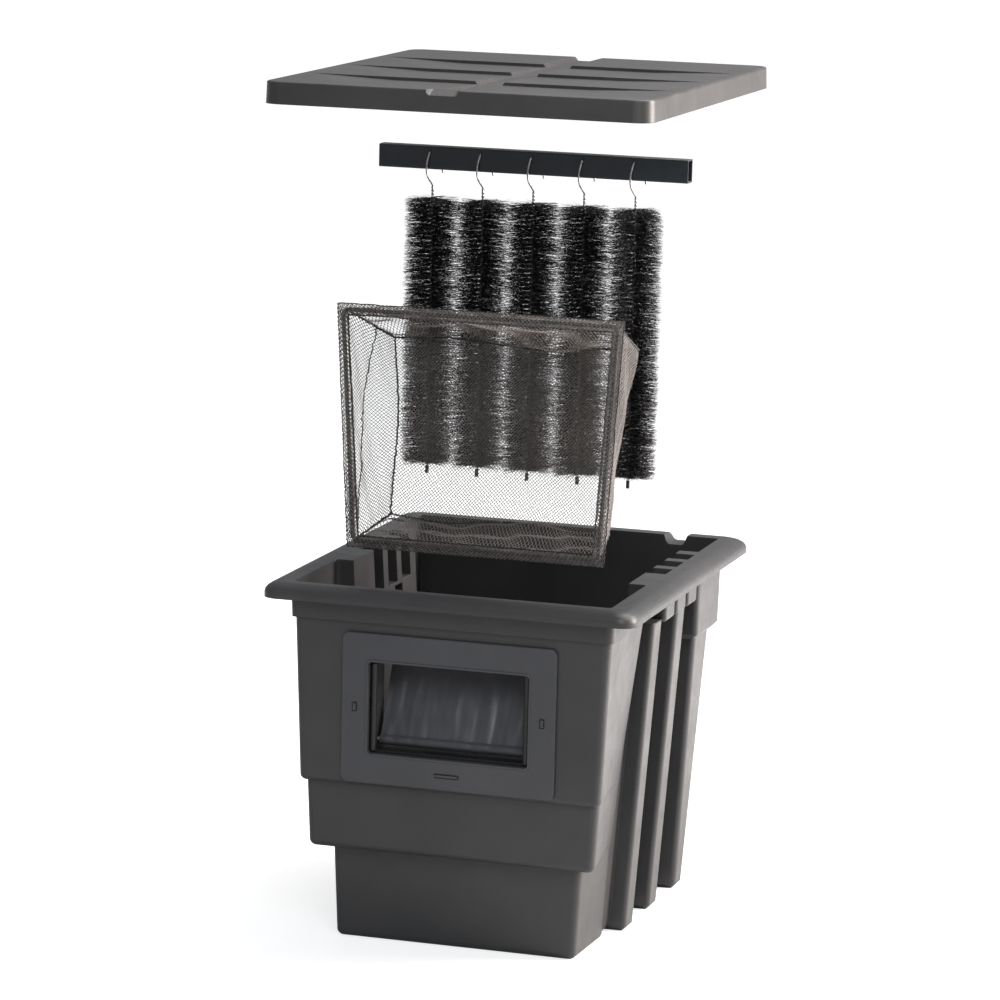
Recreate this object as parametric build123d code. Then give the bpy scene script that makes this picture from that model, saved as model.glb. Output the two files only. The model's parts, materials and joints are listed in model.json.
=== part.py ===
"""Pond skimmer filter, opened out for cleaning: tub with weir, debris net, brush rail and lid.

Millimetres. +Z is up, the tub stands on z = 0, X = 0 is the middle of its width, Y = 0 is the
middle of its rim, and the weir mouth looks towards -Y. The net, the brush rail and the lid are
modelled lifted straight up out of the tub, one above the other. "Depth" below always means the
distance down from the tub's rim.
"""

import os
from math import cos, radians, sin, tan

from build123d import *

# ---------------------------------------------------------------- driving dimensions

TUB_HEIGHT = 435.0
RIM_WIDTH = 455.0
RIM_LENGTH = 530.0
RIM_DROP = 18.0
RIM_ROLL_HEIGHT = 12.0
RIM_ROLL_WIDTH = 17.0
RIM_ROLL_STEPS = 5
RIM_CORNER = 20.0
RIM_SKIN = 3.0
WALL = 4.0
OPEN_TOP = 30.0

# front chamber: three tiers, each with its bottom depth, front face and front half-widths
POD_REAR_Y = -88.0
POD_HALF_RIM = 198.0
POD_HALF_KNEE = 162.0
POD_HALF_FLOOR = 152.0
POD_KNEE_DEPTH = 270.0
BAND = dict(bottom=42.0, front=-244.0, front_bottom=-243.0, half_top=198.5, half_bottom=197.0)
TIERS = (
    dict(top=0.0, bottom=239.0, front=-238.0, half_top=195.5, half_bottom=186.5, round=7.0),
    dict(top=200.0, bottom=321.0, front=-226.0, half_top=183.5, half_bottom=177.5, round=8.0),
    dict(top=290.0, bottom=435.0, front=-200.0, half_top=156.0, half_bottom=148.5, round=8.0),
)
TIER_CORNER = 9.0
BAND_CORNER = 9.0

# main chamber behind it, with its columns, slot pockets and rear panel
CORE_FRONT_Y = -150.0
CORE_TOP = dict(half=178.0, rear=231.0)
CORE_FLOOR = dict(half=148.0, rear=187.0)
CORE_CORNER = 22.0
CORE_FOOT_ROUND = 12.0
COLUMN_CENTRES = (-37.0, 68.0)
COLUMN_WIDTH = 36.0
COLUMN_CORNER = 5.5
COLUMN_FOOT_BEVEL = 4.8
COLUMN_TOP_DEPTH = 54.0
COLUMN_HALF_TOP = 195.0
COLUMN_HALF_FLOOR = 169.0
POCKET_CENTRES = (-2.0, 48.0, 98.0)
POCKET_WIDTH = 41.0
POCKET_HALF_TOP = 201.0
POCKET_HALF_BOTTOM = 200.0
POCKET_BOTTOM = 58.0
POCKET_CORNER = 5.0
POCKET_FOOT_ROUND = 4.5
REAR_BAND = dict(top=0.0, bottom=110.0, front=131.0, rear_top=236.0, rear_bottom=234.0,
                 half_top=200.0, half_bottom=198.0)
REAR_BAND_FOOT_BEVEL = 6.0
REAR_PANEL = dict(top=30.0, bottom=TUB_HEIGHT, front=157.0, rear_top=229.0, rear_bottom=190.0,
                  half_top=193.0, half_bottom=172.0)
REAR_PANEL_FOOT_BEVEL = 5.5
REAR_CORNER = 6.5
HOSE_NOTCH_X = 140.0
HOSE_NOTCH_WIDTH_TOP = 30.0
HOSE_NOTCH_WIDTH_FLOOR = 20.0
HOSE_NOTCH_ROUND = 6.0
HOSE_NOTCH_DEPTH = 12.0

# weir mouth in the front wall
MOUTH_WIDTH = 197.0
MOUTH_HEIGHT = 110.0
MOUTH_TOP_DEPTH = 88.0
MOUTH_CORNER = 4.0
PLATE_WIDTH = 263.0
PLATE_HEIGHT = 180.0
PLATE_TOP_DEPTH = 54.0
PLATE_THICKNESS = 3.0
PLATE_CORNER = 9.0
PLATE_EDGE_ROUND = 1.2
MOUTH_LIP_WIDTH = 2.5
MOUTH_LIP_PROUD = 0.8
MOUTH_LIP_CORNER = 6.0
LATCH_SIDE = (6.0, 11.0)
LATCH_FOOT = (30.0, 5.0)
LATCH_FOOT_RISE = 17.0
LATCH_GROOVE = 1.1
LATCH_GROOVE_DEPTH = 1.5
LATCH_PROUD = 1.4
GASKET = 1.5
GASKET_INSET = 3.0
GASKET_MOUTH_GAP = 1.0
FLANGE_WIDTH = 236.0
FLANGE_TOP_DEPTH = 66.0
FLANGE_BOTTOM_DEPTH = 228.0
FLANGE_CORNER = 8.0
FLANGE_THICKNESS = 4.0
THROAT_DEPTH = 36.0
THROAT_WALL = 4.0
THROAT_INSET = 4.0
THROAT_SLOT = 6.0
SILL_RISE = 3.0
LINTEL_RISE = 2.0
BEAD_RADIUS = 4.0
BEAD_EDGE_ROUND = 3.6
BEAD_TOP_GAP = 5.0
SCREW_ROWS = (76.0, 212.0)
SCREW_HALF = 110.0
SCREWS_ACROSS = 4
BOSS_RADIUS = 3.5
BOSS_LENGTH = 7.0
BOSS_CLEARANCE = 0.3
SCREW_RADIUS = 1.5
SCREW_BORE_CLEARANCE = 0.1
FLANGE_BORE_CLEARANCE = 0.3
SCREW_TIP_INSIDE_WALL = 0.6
SCREW_HEAD_RADIUS = 3.2
SCREW_HEAD_HEIGHT = 2.2
SCREW_HEAD_ROUND = 0.9
LONG_CUT = 60.0

# weir flap, leaning back from its hinge at the foot of the mouth
FLAP_LEAN = 25.0
FLAP_LENGTH = 94.0
FLAP_THICKNESS = 3.0
FLAP_SIDE_GAP = 2.5
FLAP_BARREL_RADIUS = 6.0
FLAP_HINGE_Y = -212.0
FLAP_HINGE_ABOVE_SILL = 8.5
PIN_RADIUS = 3.0
PIN_CLEARANCE = 0.08
PIN_GRIP = 10.0
PIN_END_GAP = 1.0
FLOAT_RADIUS = 7.0
FLOAT_BELOW_EDGE = 2.0
FLOAT_SIDE_GAP = 12.0
FLOAT_FOOT_HALF = 5.0
BUMPER_HALF = 3.0
BUMPER_HEIGHT = 5.0
BUMPER_ROUND = 1.5

# debris net: a box bag on a stiff front frame, open towards the weir
NET_FRONT_Y = -158.0
NET_HALF_TOP = 176.0
NET_HALF_BOTTOM = 158.0
NET_HEIGHT = 290.0
NET_DEPTH_TOP = 155.0
NET_DEPTH_BOTTOM = 120.0
NET_SAG_TOP = 46.0
NET_SAG_BOTTOM = 10.0
NET_SKIN = 2.0
NET_BACK_TAPER = 0.90
HEM_WIDTH = 14.0
HEM_THICKNESS = 8.0
HEM_CORNER_OUTER = 8.0
HEM_CORNER_INNER = 4.0
ROD_RADIUS = 2.5
ROD_CORNER = 7.0
ROD_CLEARANCE = 0.15
NET_TOP_SEATED_DEPTH = 22.0
GUIDE_GAP = 1.5
GUIDE_SKIN = 3.0
GUIDE_LIP = 4.5
GUIDE_ROOT = 10.0
GUIDE_TOP_DEPTH = 34.0
GUIDE_BOTTOM_DEPTH = 229.0
GUIDE_TIE_MARGIN = 4.0
GUIDE_TIE_LAP = (6.0, 2.0)

# brush rail and brushes
RAIL_LENGTH = 388.0
RAIL_WIDTH = 20.0
RAIL_HEIGHT = 28.0
RAIL_WALL = 1.5
RAIL_EDGE_ROUND = 1.8
RAIL_Y = POCKET_CENTRES[1]
BRUSH_COUNT = 5
BRUSH_PITCH = 64.0
HOOK_HOLE_DROP = 6.0
WIRE_RADIUS = 1.2
WIRE_BEND = 1.9
HOOK_CLEARANCE = 0.1
HOOK_STANDOFF = 2.0
HOOK_TAIL = (8.0, 4.0)
HOOK_BEND_LEFT = 4.0
STEM_START = 48.0
STEM_END = 394.0
BRISTLE_START = 62.0
BRISTLE_END = 390.0
BRISTLE_RADIUS = 31.0
BRISTLE_EDGE_ROUND = 6.0
BRISTLE_BORE = 2.6
TIP_RADIUS = 2.3
TIP_LENGTH = 10.0
TIP_GRIP = 2.0
TIP_ROUND = 1.0
TIP_CLEARANCE = 0.02

# lid
LID_WIDTH = 465.0
LID_LENGTH = 540.0
LID_SKIRT = 26.0
LID_WALL = 3.0
LID_CORNER = 20.0
LID_EDGE_ROUND = 2.5
LID_DRAFT = 2.0
LID_SINK = 5.0
LID_CHANNEL = 36.0
LID_CHANNEL_FRONT = 24.0
LID_CHANNEL_DRAFT = 38.0
LID_CHANNEL_CORNER = 6.0
LID_BOARDS = 4
LID_STEP = 3.6
LID_STEP_FULL = 0.55
LID_STEP_MARGIN = 12.0
LID_SCOOP_X = -14.0
LID_SCOOP_WIDTH = 38.0
LID_SCOOP_LENGTH = 18.0
LID_SCOOP_DEPTH = 7.0
LID_SCOOP_ROUND = 4.5

# how far each lifted part stands above its seat
NET_LIFT = 342.0
RAIL_LIFT = 516.0
LID_LIFT = 579.0

# how far joined blocks reach into each other, how far a cut runs past a surface, and a hair's breadth
LAP = 0.5
OVERRUN = 10.0
EPS = 0.01


# ---------------------------------------------------------------- helpers

def level(depth):
    """Height of a point that lies this far below the rim."""
    return TUB_HEIGHT - depth


def between(top, bottom, share):
    return top + (bottom - top) * share


def block(x0, x1, y0, y1, z0, z1):
    return Pos((x0 + x1) / 2, (y0 + y1) / 2, (z0 + z1) / 2) * Box(x1 - x0, y1 - y0, z1 - z0)


def outline(points, radius):
    """Closed flat outline with every corner rounded."""
    face = make_face(Polyline(*points, close=True))
    if radius > 0:
        face = fillet(face.vertices(), radius)
    return face


def frustum(points_top, points_bottom, z_top, z_bottom, radius):
    """Solid between two outlines of the same shape at two heights."""
    lower = Pos(0, 0, z_bottom) * outline(points_bottom, radius)
    upper = Pos(0, 0, z_top) * outline(points_top, radius)
    return loft([lower, upper], ruled=True)


def rectangle(half, y0, y1):
    return [(-half, y0), (half, y0), (half, y1), (-half, y1)]


def taper_box(half_top, half_bottom, y_top, y_bottom, depth_top, depth_bottom, radius):
    """Box centred on X whose sides lean in towards the floor."""
    return frustum(rectangle(half_top, *y_top), rectangle(half_bottom, *y_bottom),
                   level(depth_top), level(depth_bottom), radius)


def soften_bottom(solid, radius):
    return fillet(solid.faces().sort_by(Axis.Z)[0].edges(), radius)


def bevel_bottom(solid, size, inset):
    """Bevels a block's foot; the block that hollows it out is rounded a little there instead."""
    if inset:
        return soften_bottom(solid, size - inset)
    return chamfer(solid.faces().sort_by(Axis.Z)[0].edges(), size)


def rod_between(start, end, radius):
    """Round bar from one point to another."""
    axis = Vector(*end) - Vector(*start)
    return extrude(Plane(origin=start, z_dir=axis) * Circle(radius), axis.length)


# ---------------------------------------------------------------- tub

def pod_side(depth):
    """Half-width of the front chamber where it meets the main chamber."""
    if depth < POD_KNEE_DEPTH:
        return between(POD_HALF_RIM, POD_HALF_KNEE, depth / POD_KNEE_DEPTH)
    return between(POD_HALF_KNEE, POD_HALF_FLOOR, (depth - POD_KNEE_DEPTH) / (TUB_HEIGHT - POD_KNEE_DEPTH))


def tier(spec, inset):
    """One tier of the front chamber; its front corners stand proud of the shared side."""
    top = open_above(spec["top"], inset)
    bottom = spec["bottom"] - inset
    sections = []
    for depth, half in ((top, spec["half_top"]), (bottom, spec["half_bottom"])):
        front = spec["front"] + inset
        side = pod_side(max(depth, 0.0)) - inset
        rear = POD_REAR_Y - inset
        sections.append([(-half + inset, front), (half - inset, front), (side, rear), (-side, rear)])
    solid = frustum(sections[0], sections[1], level(top), level(bottom), TIER_CORNER - inset)
    return soften_bottom(solid, spec["round"] - inset)


def vessel(inset):
    """Everything the tub's wall wraps, drawn in by `inset` on every side but the open top."""
    top = open_above(0.0, inset)
    solid = taper_box(CORE_TOP["half"] - inset, CORE_FLOOR["half"] - inset,
                      (CORE_FRONT_Y + inset, CORE_TOP["rear"] - inset),
                      (CORE_FRONT_Y + inset, CORE_FLOOR["rear"] - inset),
                      top, TUB_HEIGHT - inset, CORE_CORNER - inset)
    solid = soften_bottom(solid, CORE_FOOT_ROUND - inset)
    band = taper_box(BAND["half_top"] - inset, BAND["half_bottom"] - inset,
                     (BAND["front"] + inset, POD_REAR_Y - inset),
                     (BAND["front_bottom"] + inset, POD_REAR_Y - inset),
                     top, BAND["bottom"] - inset, BAND_CORNER - inset)
    solid += band
    for spec in TIERS:
        solid += tier(spec, inset)
    for centre in COLUMN_CENTRES:
        half = COLUMN_WIDTH / 2 - inset
        column = taper_box(COLUMN_HALF_TOP - inset, COLUMN_HALF_FLOOR - inset,
                           (centre - half, centre + half), (centre - half, centre + half),
                           COLUMN_TOP_DEPTH + inset, TUB_HEIGHT - inset, COLUMN_CORNER - inset)
        solid += bevel_bottom(column, COLUMN_FOOT_BEVEL, inset)
    for centre in POCKET_CENTRES:
        half = POCKET_WIDTH / 2 - inset
        pocket = taper_box(POCKET_HALF_TOP - inset, POCKET_HALF_BOTTOM - inset,
                           (centre - half, centre + half), (centre - half, centre + half),
                           top, POCKET_BOTTOM - inset, POCKET_CORNER - inset)
        solid += soften_bottom(pocket, POCKET_FOOT_ROUND - inset)
    solid += bevel_bottom(rear_box(REAR_BAND, inset), REAR_BAND_FOOT_BEVEL, inset)
    solid += bevel_bottom(rear_box(REAR_PANEL, inset), REAR_PANEL_FOOT_BEVEL, inset)
    return solid


def rear_box(spec, inset):
    """Block at the back of the main chamber whose rear face leans in towards the floor."""
    return taper_box(spec["half_top"] - inset, spec["half_bottom"] - inset,
                     (spec["front"] + inset, spec["rear_top"] - inset),
                     (spec["front"] + inset, spec["rear_bottom"] - inset),
                     open_above(spec["top"], inset), spec["bottom"] - inset, REAR_CORNER - inset)


def open_above(top, inset):
    """Depth of a block's top: an inner block that starts at the rim runs on up through it."""
    return -OPEN_TOP if inset and top == 0.0 else top


def rim_block(inset):
    """Rim as a filled block with a rolled edge; the difference of two of them is its skin."""
    rows = [(RIM_DROP, 0.0)]
    for step in range(RIM_ROLL_STEPS + 1):
        turn = radians(90 * step / RIM_ROLL_STEPS)
        rows.append((RIM_ROLL_HEIGHT * (1 - sin(turn)), RIM_ROLL_WIDTH * (1 - cos(turn))))
    sections = []
    for depth, drawn_in in rows:
        open_foot = EPS * (inset > 0)
        lower = level(depth) - (open_foot if depth == RIM_DROP else inset)
        size_x = RIM_WIDTH - 2 * (drawn_in + inset)
        size_y = RIM_LENGTH - 2 * (drawn_in + inset)
        sections.append(Pos(0, 0, lower) * RectangleRounded(size_x, size_y, RIM_CORNER - inset))
    return loft(sections, ruled=True)


def notch_block(grow):
    """Filled shape of the hose notch in the rear rim, from well above the rim down to its rounded floor."""
    floor = level(HOSE_NOTCH_DEPTH + grow)
    above = level(-2 * HOSE_NOTCH_DEPTH)
    half_floor = HOSE_NOTCH_WIDTH_FLOOR / 2 + grow
    half_top = HOSE_NOTCH_WIDTH_TOP / 2 + grow
    corners = [(-half_floor, floor), (half_floor, floor), (half_top, level(0.0)),
               (half_top, above), (-half_top, above), (-half_top, level(0.0))]
    plane = Plane(origin=(HOSE_NOTCH_X, CORE_FLOOR["rear"], 0), x_dir=(1, 0, 0), z_dir=(0, -1, 0))
    length = RIM_LENGTH / 2 + EPS - CORE_FLOOR["rear"]
    solid = extrude(plane * outline(corners, 0), -length)
    return fillet(solid.faces().sort_by(Axis.Z)[0].edges().filter_by(Axis.Y), HOSE_NOTCH_ROUND)


def tub():
    rim = rim_block(0.0)
    solid = rim - rim_block(RIM_SKIN) + (rim & notch_block(RIM_SKIN)) + vessel(0.0) - vessel(WALL)
    solid -= notch_block(0.0)
    solid -= mouth_block()
    return bored(solid, BOSS_RADIUS + BOSS_CLEARANCE)


# ---------------------------------------------------------------- weir frame, plate and seals

WALL_FRONT = TIERS[0]["front"]
WALL_BACK = WALL_FRONT + WALL
MOUTH_CENTRE_Z = level(MOUTH_TOP_DEPTH + MOUTH_HEIGHT / 2)
PLATE_CENTRE_Z = level(PLATE_TOP_DEPTH + PLATE_HEIGHT / 2)
THROAT_HALF = MOUTH_WIDTH / 2 - THROAT_INSET
SILL_Z = level(MOUTH_TOP_DEPTH + MOUTH_HEIGHT) + SILL_RISE
LINTEL_Z = level(MOUTH_TOP_DEPTH) + LINTEL_RISE
HINGE_Z = SILL_Z + FLAP_HINGE_ABOVE_SILL
FLANGE_FRONT = WALL_BACK + GASKET
FLANGE_BACK = FLANGE_FRONT + FLANGE_THICKNESS
FLANGE_HEIGHT = FLANGE_BOTTOM_DEPTH - FLANGE_TOP_DEPTH
FLANGE_CENTRE_Z = level((FLANGE_BOTTOM_DEPTH + FLANGE_TOP_DEPTH) / 2)
PLATE_FRONT = WALL_FRONT - GASKET - PLATE_THICKNESS
PLATE_BACK = WALL_FRONT - GASKET


def slab(width, height, corner, y_front, thickness, z_centre):
    """Upright rounded plate, `thickness` deep behind y_front."""
    face = Plane(origin=(0, y_front, z_centre), x_dir=(1, 0, 0), z_dir=(0, -1, 0))
    return extrude(face * RectangleRounded(width, height, corner), -thickness)


def mouth_block(grow=0.0):
    """The mouth as a filled block that runs right through the wall and everything fixed to it."""
    return slab(MOUTH_WIDTH + 2 * grow, MOUTH_HEIGHT + 2 * grow, MOUTH_CORNER, WALL_FRONT - LONG_CUT / 3,
                LONG_CUT, MOUTH_CENTRE_Z)


def screw_places():
    """Twelve screws in a ring around the mouth: four across top and bottom, two up each side."""
    top, bottom = (level(depth) for depth in SCREW_ROWS)
    across = [between(-SCREW_HALF, SCREW_HALF, i / (SCREWS_ACROSS - 1)) for i in range(SCREWS_ACROSS)]
    up = [between(bottom, top, share) for share in (1 / 3, 2 / 3)]
    ring = [(x, z) for x in across for z in (top, bottom)]
    ring += [(side * SCREW_HALF, z) for side in (-1, 1) for z in up]
    return ring


def bored(solid, radius):
    """The solid with a hole of this radius at each screw."""
    for x, z in screw_places():
        solid -= Pos(x, WALL_FRONT, z) * Rot(90, 0, 0) * Cylinder(radius, LONG_CUT)
    return solid


def trim_plate():
    plate = slab(PLATE_WIDTH, PLATE_HEIGHT, PLATE_CORNER, PLATE_FRONT, PLATE_THICKNESS, PLATE_CENTRE_Z)
    plate = fillet(plate.faces().sort_by(Axis.Y)[0].edges(), PLATE_EDGE_ROUND)
    plate += slab(MOUTH_WIDTH + 2 * MOUTH_LIP_WIDTH, MOUTH_HEIGHT + 2 * MOUTH_LIP_WIDTH, MOUTH_LIP_CORNER,
                  PLATE_FRONT - MOUTH_LIP_PROUD, PLATE_THICKNESS / 2, MOUTH_CENTRE_Z)
    plate -= mouth_block()
    for x, z, wide, high in latch_places():
        groove_floor = PLATE_FRONT + LATCH_GROOVE_DEPTH
        plate -= upright_block(x, z, wide, high, PLATE_FRONT - LATCH_PROUD, groove_floor)
        plate += upright_block(x, z, wide - 2 * LATCH_GROOVE, high - 2 * LATCH_GROOVE,
                               PLATE_FRONT - LATCH_PROUD, groove_floor + LAP)
    for x, z in screw_places():
        plate += rod_between((x, PLATE_BACK, z), (x, PLATE_BACK + BOSS_LENGTH, z), BOSS_RADIUS)
        plate -= rod_between((x, PLATE_BACK, z), (x, PLATE_BACK + BOSS_LENGTH + EPS, z),
                             SCREW_RADIUS + SCREW_BORE_CLEARANCE)
    return plate


def upright_block(x, z, wide, high, y0, y1):
    return block(x - wide / 2, x + wide / 2, y0, y1, z - high / 2, z + high / 2)


def latch_places():
    """Three catches that take a winter cover: one each side of the mouth, one below."""
    side_x = (MOUTH_WIDTH + PLATE_WIDTH) / 4
    return (
        (-side_x, MOUTH_CENTRE_Z, *LATCH_SIDE),
        (side_x, MOUTH_CENTRE_Z, *LATCH_SIDE),
        (0.0, level(PLATE_TOP_DEPTH + PLATE_HEIGHT - LATCH_FOOT_RISE), *LATCH_FOOT),
    )


def front_gasket():
    ring = slab(PLATE_WIDTH - 2 * GASKET_INSET, PLATE_HEIGHT - 2 * GASKET_INSET, PLATE_CORNER, PLATE_BACK,
                GASKET, PLATE_CENTRE_Z)
    return bored(ring - mouth_block(GASKET_MOUTH_GAP), BOSS_RADIUS + BOSS_CLEARANCE)


def rear_gasket():
    ring = slab(FLANGE_WIDTH, FLANGE_HEIGHT, FLANGE_CORNER, WALL_BACK, GASKET, FLANGE_CENTRE_Z)
    return bored(ring - mouth_block(), BOSS_RADIUS + BOSS_CLEARANCE)


def weir_frame():
    """Flange behind the wall, a throat with beaded jambs, and two leaning guides for the net."""
    body = slab(FLANGE_WIDTH, FLANGE_HEIGHT, FLANGE_CORNER, FLANGE_FRONT, FLANGE_THICKNESS, FLANGE_CENTRE_Z)
    outside = THROAT_HALF + THROAT_WALL
    body += block(-outside, outside, FLANGE_FRONT, FLANGE_FRONT + THROAT_DEPTH, SILL_Z - THROAT_WALL,
                  LINTEL_Z + THROAT_WALL)
    behind = WALL_FRONT + LONG_CUT
    body -= block(-THROAT_HALF, THROAT_HALF, WALL_FRONT, behind, SILL_Z, LINTEL_Z)
    slot = THROAT_HALF - THROAT_SLOT
    body -= block(-slot, slot, FLANGE_BACK + 2 * LAP, behind, SILL_Z, level(0.0))
    for side in (-1, 1):
        jamb = side * (THROAT_HALF - LAP)
        bead = block(jamb - BEAD_RADIUS, jamb + BEAD_RADIUS, WALL_FRONT + 2 * LAP, FLANGE_FRONT + 4 * LAP,
                     SILL_Z - LAP, LINTEL_Z - BEAD_TOP_GAP)
        body += fillet(bead.faces().sort_by(Axis.Y)[0].edges().filter_by(Axis.Z), BEAD_EDGE_ROUND)
        socket = Pos(side * THROAT_HALF, FLAP_HINGE_Y, HINGE_Z) * Rot(0, 90, 0)
        body -= socket * Cylinder(PIN_RADIUS + PIN_CLEARANCE, 4 * THROAT_WALL)
    body = bored(body, SCREW_RADIUS + FLANGE_BORE_CLEARANCE)
    for piece in net_guides():
        body += piece
    return body


def guide_strip(side, offset_in, offset_out, y0, y1):
    """Upright strip that leans with the edge of the net, offset from that edge."""
    corners = []
    for depth in (GUIDE_TOP_DEPTH, GUIDE_BOTTOM_DEPTH):
        edge = net_half(depth - NET_TOP_SEATED_DEPTH)
        corners.append([(side * (edge + offset), level(depth)) for offset in (offset_in, offset_out)])
    ring = corners[0] + corners[1][::-1]
    plane = Plane(origin=(0, y0, 0), x_dir=(1, 0, 0), z_dir=(0, -1, 0))
    return extrude(plane * make_face(Polyline(*ring, close=True)), -(y1 - y0))


def net_guides():
    """A leaning channel each side of the mouth that the net's front frame drops into."""
    outside = GUIDE_GAP + GUIDE_SKIN
    lip_front = NET_FRONT_Y - GUIDE_GAP - GUIDE_SKIN
    back = NET_FRONT_Y + HEM_THICKNESS + GUIDE_GAP + GUIDE_SKIN
    parts = []
    for side in (-1, 1):
        parts.append(guide_strip(side, GUIDE_GAP, outside, FLANGE_FRONT, back))
        parts.append(guide_strip(side, -GUIDE_ROOT, outside, FLANGE_FRONT, FLANGE_BACK))
        parts.append(guide_strip(side, -GUIDE_LIP, outside, lip_front, lip_front + GUIDE_SKIN))
        parts.append(guide_strip(side, -GUIDE_LIP, outside, back - GUIDE_SKIN, back))
        inner, outer = FLANGE_WIDTH / 2 - GUIDE_TIE_LAP[0], net_half(GUIDE_BOTTOM_DEPTH) - GUIDE_TIE_LAP[1]
        ends = sorted((side * inner, side * outer))
        parts.append(block(*ends, FLANGE_FRONT, FLANGE_BACK, level(FLANGE_BOTTOM_DEPTH - GUIDE_TIE_MARGIN),
                           level(FLANGE_TOP_DEPTH + GUIDE_TIE_MARGIN)))
    return parts


def frame_screws():
    screws = []
    for x, z in screw_places():
        shank = rod_between((x, WALL_FRONT + SCREW_TIP_INSIDE_WALL, z), (x, FLANGE_BACK, z), SCREW_RADIUS)
        head = rod_between((x, FLANGE_BACK, z), (x, FLANGE_BACK + SCREW_HEAD_HEIGHT, z), SCREW_HEAD_RADIUS)
        head = fillet(head.faces().sort_by(Axis.Y)[-1].edges(), SCREW_HEAD_ROUND)
        screws.append(shank + head)
    return Compound(children=screws)


# ---------------------------------------------------------------- weir flap

def lean(solid):
    """Turn a part drawn upright over the hinge line to the flap's resting angle."""
    hinge = Axis((0, FLAP_HINGE_Y, HINGE_Z), (1, 0, 0))
    return solid.rotate(hinge, -FLAP_LEAN)


FLAP_HALF = THROAT_HALF - FLAP_SIDE_GAP


def flap_panel():
    barrel = rod_between((-FLAP_HALF, FLAP_HINGE_Y, HINGE_Z), (FLAP_HALF, FLAP_HINGE_Y, HINGE_Z),
                         FLAP_BARREL_RADIUS)
    sheet = block(-FLAP_HALF, FLAP_HALF, FLAP_HINGE_Y - FLAP_THICKNESS / 2, FLAP_HINGE_Y + FLAP_THICKNESS / 2,
                  HINGE_Z, HINGE_Z + FLAP_LENGTH)
    panel = barrel + sheet
    for side in (-1, 1):
        place = Pos(side * FLAP_HALF, FLAP_HINGE_Y, HINGE_Z) * Rot(0, 90, 0)
        panel -= place * Cylinder(PIN_RADIUS, 2 * PIN_GRIP)
    return lean(panel)


def flap_hinge_pins():
    pins = []
    for side in (-1, 1):
        inner = side * (FLAP_HALF - PIN_GRIP)
        outer = side * (THROAT_HALF + THROAT_WALL - PIN_END_GAP)
        pins.append(rod_between((inner, FLAP_HINGE_Y, HINGE_Z), (outer, FLAP_HINGE_Y, HINGE_Z), PIN_RADIUS))
    return Compound(children=pins)


def flap_float():
    """Foam roll fixed behind the flap's top edge, which lifts it as the water rises."""
    centre_y = FLAP_HINGE_Y + FLAP_THICKNESS / 2 + FLOAT_RADIUS
    centre_z = HINGE_Z + FLAP_LENGTH - FLOAT_RADIUS - FLOAT_BELOW_EDGE
    half = FLAP_HALF - FLOAT_SIDE_GAP
    roll = rod_between((-half, centre_y, centre_z), (half, centre_y, centre_z), FLOAT_RADIUS)
    foot = block(-half, half, FLAP_HINGE_Y + FLAP_THICKNESS / 2, centre_y,
                 centre_z - FLOAT_FOOT_HALF, centre_z + FLOAT_FOOT_HALF)
    return lean(roll + foot)


def flap_bumper():
    """Soft strip that caps the flap's top edge."""
    top = HINGE_Z + FLAP_LENGTH
    strip = block(-FLAP_HALF, FLAP_HALF, FLAP_HINGE_Y - BUMPER_HALF, FLAP_HINGE_Y + BUMPER_HALF,
                  top, top + BUMPER_HEIGHT)
    return lean(fillet(strip.edges().filter_by(Axis.X), BUMPER_ROUND))


# ---------------------------------------------------------------- debris net

def net_half(drop):
    """Half-width of the net at this distance below its top edge."""
    return between(NET_HALF_TOP, NET_HALF_BOTTOM, drop / NET_HEIGHT)


NET_TOP_Z = level(NET_TOP_SEATED_DEPTH) + NET_LIFT


def upright_outline(inset):
    """The net's front outline drawn in by `inset`."""
    top = NET_TOP_Z - inset
    bottom = NET_TOP_Z - NET_HEIGHT + inset
    half_top = net_half(inset) - inset
    half_bottom = net_half(NET_HEIGHT - inset) - inset
    return [(-half_bottom, bottom), (half_bottom, bottom), (half_top, top), (-half_top, top)]


def rod_path():
    ring = [(x, NET_FRONT_Y + HEM_THICKNESS / 2, z) for x, z in upright_outline(HEM_WIDTH / 2)]
    return FilletPolyline(*ring, radius=ROD_CORNER, close=True)


def rod_sweep(radius):
    path = rod_path()
    return sweep((path ^ 0.1) * Circle(radius), path)


def net_frame():
    """Closed wire frame that keeps the net's mouth open."""
    return rod_sweep(ROD_RADIUS)


def net_hem():
    """Doubled fabric sleeve around the wire frame."""
    plane = Plane(origin=(0, NET_FRONT_Y, 0), x_dir=(1, 0, 0), z_dir=(0, -1, 0))
    sleeve = extrude(plane * outline(upright_outline(0.0), HEM_CORNER_OUTER), -HEM_THICKNESS)
    sleeve -= extrude(plane * outline(upright_outline(HEM_WIDTH), HEM_CORNER_INNER), -HEM_THICKNESS)
    return sleeve - rod_sweep(ROD_RADIUS + ROD_CLEARANCE)


def net_shell(inset):
    """Bag as a filled block that narrows and rises towards the back."""
    front = upright_outline(inset + HEM_WIDTH / 2)
    back = []
    for x, z in front:
        lower = z < NET_TOP_Z - NET_HEIGHT / 2
        back.append((x * NET_BACK_TAPER, z + NET_SAG_BOTTOM if lower else z - NET_SAG_TOP))
    y_front = NET_FRONT_Y + HEM_THICKNESS
    depth = (NET_DEPTH_TOP + NET_DEPTH_BOTTOM) / 2
    tilt = (NET_DEPTH_TOP - NET_DEPTH_BOTTOM) / NET_HEIGHT
    mid_z = NET_TOP_Z - NET_HEIGHT / 2
    front_plane = Plane(origin=(0, y_front - EPS * (inset > 0), 0), x_dir=(1, 0, 0), z_dir=(0, -1, 0))
    back_points = [(x, y_front + depth - inset + tilt * (z - mid_z), z) for x, z in back]
    back_face = make_face(Polyline(*back_points, close=True))
    return loft([front_plane * make_face(Polyline(*front, close=True)), back_face], ruled=True)


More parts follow.
